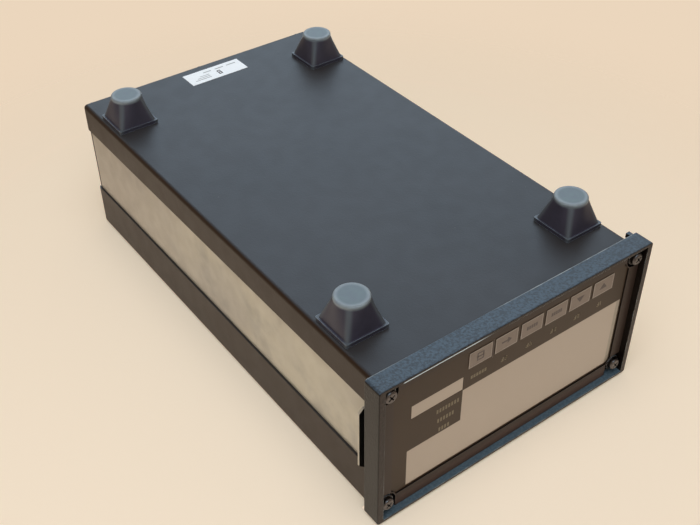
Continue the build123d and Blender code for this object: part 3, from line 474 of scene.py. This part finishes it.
FINISHES = {
    "bezel_paint": bezel_paint,
    "panel_paint": panel_paint,
    "cover_paint": cover_paint,
    "overlay": overlay,
    "key_print": key_print,
    "window": window,
    "bare_aluminium": bare_aluminium,
    "black_screw": lambda: metal("black_screw", (0.16, 0.145, 0.145), 0.32),
    "zinc_steel": lambda: metal("zinc_steel", linear(196, 196, 190), 0.32),
    "label_film": label_film,
    "nickel": lambda: metal("nickel", linear(208, 200, 186), 0.2),
    "white_insulator": lambda: plastic("white_insulator", linear(232, 228, 216), 0.4),
    "contact_gold": lambda: metal("contact_gold", linear(226, 186, 96), 0.25),
    "black_moulding": lambda: plastic("black_moulding", (0.018, 0.018, 0.019), 0.42),
    "fuse_glass": fuse_glass,
    "board_laminate": board_laminate,
    "chip_moulding": lambda: plastic("chip_moulding", (0.022, 0.022, 0.024), 0.55),
    "metal_can": lambda: metal("metal_can", linear(200, 200, 196), 0.3),
    "capacitor_sleeve": lambda: plastic("capacitor_sleeve", linear(28, 40, 92), 0.3),
    "black_anodised": lambda: metal("black_anodised", (0.025, 0.025, 0.027), 0.45),
    "lamination": lambda: metal("lamination", linear(96, 92, 88), 0.5),
    "winding_tape": lambda: plastic("winding_tape", linear(206, 170, 60), 0.45),
    "ribbon_grey": lambda: plastic("ribbon_grey", linear(150, 150, 152), 0.5),
    "frame_steel": lambda: plastic("frame_steel", (0.010, 0.010, 0.010), 0.6),
}


def paint_nodes():
    """Give every CAD node the finish of its material slot."""
    made = {}
    for subpart in frame["record"]["subparts"]:
        slot, node = subpart["material_slot"], subpart["node"]
        data = frame["nodes"][node].data
        data.materials.clear()
        if slot == "foot_rubber":
            data.materials.append(foot_rubber(node))
            continue
        if slot not in made:
            made[slot] = FINISHES[slot]()
        data.materials.append(made[slot])


# --- Printed marks ------------------------------------------------------------------------------------
# Outlines are in mm. A print stands out by PRINT from its face, and sinks into it by as much.
PRINT = 0.05 * MM
BORDER_INSET, BORDER_STROKE = 0.5, 0.7   # a key's border, in from its skirt, so a little past its cap
LEGEND_RISE = 13.0                       # from a key's middle up to the foot of its legend
LEGEND_HEIGHT = 3.2
REAR_PITCH = 1.7                         # of the bars that stand for a name on the rear panel


def prisms(name, outlines, base, top, material, body="chassis", upright=True):
    """Thin plates with these outlines in mm, as one piece riding on a body.

    Upright plates lie between two Y positions, with outlines in X and Z. The others lie between two
    Z positions, with outlines in X and Y.
    """
    mesh = bmesh.new()
    for outline in outlines:
        rings = []
        for level in (base, top):
            points = [(u * MM, level, v * MM) if upright else (u * MM, v * MM, level)
                      for u, v in outline]
            rings.append([mesh.verts.new(point) for point in points])
            mesh.faces.new(rings[-1])
        for n in range(len(outline)):
            m = (n + 1) % len(outline)
            mesh.faces.new((rings[0][n], rings[0][m], rings[1][m], rings[1][n]))
    bmesh.ops.recalc_face_normals(mesh, faces=mesh.faces[:])
    data = bpy.data.meshes.new(name)
    mesh.to_mesh(data)
    mesh.free()
    data.materials.append(material)
    made = bpy.data.objects.new(name, data)
    bpy.context.scene.collection.objects.link(made)
    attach(made, body)
    return made


def bar(left, low, right, high):
    """Outline of a rectangle."""
    return [(left, low), (right, low), (right, high), (left, high)]


def outline_bars(low, high, stroke):
    """The four bars of a rectangular frame."""
    left, bottom, right, top = *low, *high
    return [bar(left, bottom, right, bottom + stroke), bar(left, top - stroke, right, top),
            bar(left, bottom + stroke, left + stroke, top - stroke),
            bar(right - stroke, bottom + stroke, right, top - stroke)]


def word(left, low, height, letters, pitch, wide=0.72):
    """A row of short upright bars that stands in for a word."""
    return [bar(left + n * pitch, low, left + (n + wide) * pitch, low + height) for n in range(letters)]


def numeral(digit, left, low, width, height, stroke):
    """A plain numeral made of straight strokes."""
    right, high, middle = left + width, low + height, low + height / 2
    strokes = {
        "top": bar(left, high - stroke, right, high),
        "middle": bar(left, middle - stroke / 2, right, middle + stroke / 2),
        "bottom": bar(left, low, right, low + stroke),
        "upper left": bar(left, middle, left + stroke, high),
        "upper right": bar(right - stroke, middle, right, high),
        "lower left": bar(left, low, left + stroke, middle),
        "lower right": bar(right - stroke, low, right, middle),
    }
    used = {
        1: ["upper right", "lower right"],
        2: ["top", "upper right", "middle", "lower left", "bottom"],
        3: ["top", "upper right", "middle", "lower right", "bottom"],
        4: ["upper left", "upper right", "middle", "lower right"],
        5: ["top", "upper left", "middle", "lower right", "bottom"],
        8: list(strokes),
    }
    return [strokes[place] for place in used[digit]]


KEY_MARKS = {                # round the middle of each key
    "key_down": [[(-3.2, 1.8), (3.2, 1.8), (0, -2.4)]],
    "key_up": [[(-3.2, -1.8), (3.2, -1.8), (0, 2.4)]],
    "key_select": word(-4.4, -1.3, 2.6, 5, 1.8),
    "key_enter": word(-4.4, -1.3, 2.6, 5, 1.8),
    "key_back": [[(-4.0, 0), (-0.8, 2.3), (-0.8, -2.3)], bar(-0.8, -0.6, 3.8, 0.6)],
    "key_menu": [bar(-2.6, 2.2, 2.6, 3.0), bar(-2.6, -0.4, 2.6, 0.4), bar(-2.6, -3.0, 2.6, -2.2),
                 bar(-2.6, -2.2, -1.8, 2.2), bar(1.8, -2.2, 2.6, 2.2)],
}

STATUS_ROWS = (              # letters, indent and rise of the rows above the status window
    (8, 0.6, 5.2),
    (6, 4.0, 13.4),
    (4, 7.0, 21.4),
)

REAR_NAMES = {               # how many bars stand for the name under each fitting
    "input_a_connector": 6,
    "input_b_connector": 6,
    "gate_input_connector": 5,
    "reference_in_connector": 7,
    "reference_out_connector": 8,
    "serial_port": 9,
    "switch_housing": 5,
}


def middle_of(node):
    """Middle of a node, X and Z in mm."""
    low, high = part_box(node)
    return (low.x + high.x) / 2 / MM, (low.z + high.z) / 2 / MM


def add_key_prints(ink):
    """A symbol on each key, and a thin border round its cap."""
    cap_edge = plastic("key_edge_ink", linear(158, 147, 138), 0.5)
    for key, marks in KEY_MARKS.items():
        low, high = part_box(key)
        x, z = middle_of(key)
        symbol = [[(x + u, z + v) for u, v in outline] for outline in marks]
        border = outline_bars((low.x / MM + BORDER_INSET, low.z / MM + BORDER_INSET),
                              (high.x / MM - BORDER_INSET, high.z / MM - BORDER_INSET), BORDER_STROKE)
        base, top = low.y - PRINT, low.y + PRINT
        prisms(key + "_mark", symbol, base, top, ink, body=key)
        prisms(key + "_edge", border, base, top, cap_edge, body=key)


def key_legend(digit, left, low):
    """A numeral with a small flag beside it."""
    flag, high = left + 2.8, low + LEGEND_HEIGHT
    return numeral(digit, left, low, 1.9, LEGEND_HEIGHT, 0.7) + [
        bar(flag, low, flag + 0.8, high),
        bar(flag + 0.8, high - 0.7, flag + 2.0, high),
        bar(flag + 0.8, low + 1.2, flag + 1.6, low + 1.9),
    ]


def add_overlay_prints(ink):
    """Legends above the keys and the status window, and the line between two keys."""
    pale = plastic("legend_ink", linear(118, 107, 86), 0.5)
    base, top = OVERLAY_LOW.y - PRINT, OVERLAY_LOW.y + PRINT
    legends = []
    for digit, key in enumerate(KEY_MARKS, start=1):
        x, z = middle_of(key)
        if key == "key_menu":
            legends += word(x - 6, z + LEGEND_RISE + 0.2, 2.6, 6, 2.1)
        else:
            legends += key_legend(digit, x - 2.2, z + LEGEND_RISE)
    low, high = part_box("status_window")
    for letters, indent, rise in STATUS_ROWS:
        left, foot = low.x / MM + 1.6 + indent, high.z / MM + rise
        legends += word(left, foot, LEGEND_HEIGHT, letters, 2.2, wide=0.6)
    prisms("overlay_legends", legends, base, top, pale)
    back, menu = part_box("key_back"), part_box("key_menu")
    gap = (back[1].x + menu[0].x) / 2 / MM
    divider = [bar(gap - 0.25, back[0].z / MM, gap + 0.25, back[1].z / MM + 1.5)]
    prisms("overlay_divider", divider, base, top, ink)


def add_rear_prints():
    """A row of bars under each fitting of the rear panel."""
    pale_white = plastic("rear_ink", linear(196, 192, 184), 0.5)
    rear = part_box("rear_panel")[1].y
    names = []
    for node, letters in REAR_NAMES.items():
        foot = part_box(node)[0].z / MM - 4.2
        left = middle_of(node)[0] - letters * REAR_PITCH / 2
        names += word(left, foot, 2.0, letters, REAR_PITCH, wide=0.6)
    prisms("rear_legends", names, rear - PRINT, rear + PRINT, pale_white)


def add_label_prints(ink):
    """Faint lines and one dark numeral on the asset label."""
    faint = plastic("label_ink", linear(170, 174, 176), 0.6)
    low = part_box("asset_label")[0]
    x, y = low.x / MM, low.y / MM
    base, top = low.z - PRINT, low.z + PRINT
    rows = [bar(x + 4 + 11 * n, y + 12.6, x + 12 + 10.4 * n, y + 13.6) for n in range(3)]
    rows += [bar(x + 30, y + 4.2 + 2.2 * n, x + 44 - 3 * n, y + 4.9 + 2.2 * n) for n in range(3)]
    prisms("label_lines", rows, base, top, faint, upright=False)
    mark = numeral(8, x + 20, y + 4, 3.0, 6.0, 0.9)
    prisms("label_mark", mark, base, top, ink, upright=False)


def add_prints():
    """Symbols on the keys, legends on the overlay and the rear, and marks on the label."""
    dark = plastic("key_ink", linear(88, 78, 76), 0.5)
    add_key_prints(dark)
    add_overlay_prints(dark)
    add_rear_prints()
    add_label_prints(dark)


# --- Stage: two one-sided floors, soft lights and a pale room -----------------------------------------
ROOM = linear(235, 214, 189)
ROOM_LIGHT = 0.42            # share of the room's brightness that it lights the instrument with
UNDER_FADE = (0.45, 0.75)    # the floors fade into the room between these distances
OVER_FADE = (0.27, 0.50)
FLOOR_HALF = 1.0             # half the side of each floor
FLOOR_GAP = 0.1 * MM         # between a floor and what stands or lies on it


def floor_material(name, colour, glow, fade):
    """Matt floor seen from its front side only, fading into the room with distance.

    A little glow stands in for the light that a whole room throws on it.
    """
    made = Finish(name, colour, 0.9, specular_ior_level=0.0, emission_color=glow, emission_strength=1.0)
    distance = made.node("VectorMath", {0: made.place((1, 1, 0))}, operation="LENGTH").outputs["Value"]
    behind = made.node("NewGeometry").outputs["Backfacing"]
    gone = made.maths("MAXIMUM", made.rise(distance, *fade), behind)
    clear = made.node("BsdfTransparent").outputs["BSDF"]
    mix = made.node("MixShader", {0: gone, 1: made.shader.outputs["BSDF"], 2: clear})
    made.links.new(mix.outputs["Shader"], made.nodes["Material Output"].inputs["Surface"])
    return made.material


def plane_with_hole(name, half, hole):
    """Square sheet at Z 0, facing up, with a polygonal hole in it."""
    mesh = bmesh.new()
    square = [(-half, -half), (half, -half), (half, half), (-half, half)]
    for loop in (square, hole):
        corners = [mesh.verts.new((x, y, 0)) for x, y in loop]
        for start, end in zip(corners, corners[1:] + corners[:1]):
            mesh.edges.new((start, end))
    if hole:
        bmesh.ops.triangle_fill(mesh, edges=mesh.edges[:], use_beauty=True)
    else:
        mesh.faces.new(mesh.verts[:])
    for face in mesh.faces:
        if face.normal.z < 0:
            face.normal_flip()
    data = bpy.data.meshes.new(name)
    mesh.to_mesh(data)
    mesh.free()
    made = bpy.data.objects.new(name, data)
    bpy.context.scene.collection.objects.link(made)
    return made


def case_outline():
    """Outline of the upright case, top view, a little inside its edges, so that the hole in the upper
    floor stays hidden by the case."""
    case_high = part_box("top_cover")[1]
    bezel_low, bezel_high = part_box("front_bezel")
    side, front, rear = case_high.x - 3 * MM, bezel_low.y + 1.6 * MM, case_high.y - 1 * MM
    ear, step = bezel_high.x - 1.6 * MM, bezel_high.y - 1.6 * MM
    right = [(ear, front), (ear, step), (side, step), (side, rear)]
    return [(-ear, front), *right, *[(-x, y) for x, y in reversed(right[1:])]]


def add_floors():
    """One floor under the feet, and one on the side that the main picture's instrument lies on."""
    under = plane_with_hole("floor_under_feet", FLOOR_HALF, [])
    under.location = (0, 0, -FLOOR_GAP)
    under.data.materials.append(
        floor_material("floor_under_feet", (0.80, 0.72, 0.63), (0.10, 0.09, 0.07), UNDER_FADE))
    under.visible_diffuse = False
    under.visible_glossy = False
    over = plane_with_hole("floor_over_cover", FLOOR_HALF, case_outline())
    over.location = (0, 0, TOP + FLOOR_GAP)
    over.data.flip_normals()
    over.data.materials.append(
        floor_material("floor_over_cover", (0.94, 0.79, 0.65), (0.185, 0.175, 0.13), OVER_FADE))
    for floor in (under, over):
        floor.visible_shadow = False


def add_light(name, direction, distance, size, power, colour, diffuse=True, glossy=True):
    """Square soft light aimed at the instrument from a direction."""
    data = bpy.data.lights.new(name, "AREA")
    data.shape = "SQUARE"
    data.size = size
    data.energy = power
    data.color = colour
    light = bpy.data.objects.new(name, data)
    towards = Vector(direction).normalized()
    light.location = CENTRE + towards * distance
    light.rotation_mode = "QUATERNION"
    light.rotation_quaternion = (-towards).to_track_quat("-Z", "Y")
    light.visible_camera = False
    light.visible_diffuse = diffuse
    light.visible_glossy = glossy
    bpy.context.scene.collection.objects.link(light)


def add_room():
    """Pale room: bright behind the instrument, dimmer as a source of light."""
    room = bpy.data.worlds.new("room")
    room.use_nodes = True
    nodes, links = room.node_tree.nodes, room.node_tree.links
    seen = nodes["Background"]
    seen.inputs["Color"].default_value = (*ROOM, 1)
    lit = nodes.new("ShaderNodeBackground")
    lit.inputs["Color"].default_value = (*ROOM, 1)
    lit.inputs["Strength"].default_value = ROOM_LIGHT
    mix = nodes.new("ShaderNodeMixShader")
    links.new(nodes.new("ShaderNodeLightPath").outputs["Is Camera Ray"], mix.inputs[0])
    links.new(lit.outputs["Background"], mix.inputs[1])
    links.new(seen.outputs["Background"], mix.inputs[2])
    links.new(mix.outputs["Shader"], nodes["World Output"].inputs["Surface"])
    room.cycles.sampling_method = "NONE"
    bpy.context.scene.world = room


def add_lights():
    """Cool soft light from the feet's side for the main picture, and a second set for upright views."""
    add_light("key_below", (0.3, -0.35, -1), 1.8, 1.6, 19, (0.88, 0.98, 1.08), glossy=False)
    add_light("sheen_below", (-0.46, 0.62, -0.63), 1.6, 1.6, 18, (0.56, 0.78, 1.0), diffuse=False)
    add_light("rim_below", (0.1, -0.75, -0.75), 1.6, 0.8, 5, (0.55, 0.80, 1.0), diffuse=False)
    add_light("key_above", (-0.45, -0.3, 1.0), 1.6, 1.0, 12, (1.0, 0.98, 0.95), glossy=False)
    add_light("fill_above", (0.7, 0.5, 0.8), 1.6, 1.2, 6, (0.92, 0.96, 1.0), glossy=False)
    add_light("sheen_above", (-0.5, 0.62, 0.6), 1.6, 1.6, 16, (0.75, 0.9, 1.0), diffuse=False)


# --- Build --------------------------------------------------------------------------------------------
bpy.context.scene.view_settings.view_transform = "Standard"
add_camera()
add_floors()
add_room()
add_lights()
paint_nodes()
add_prints()
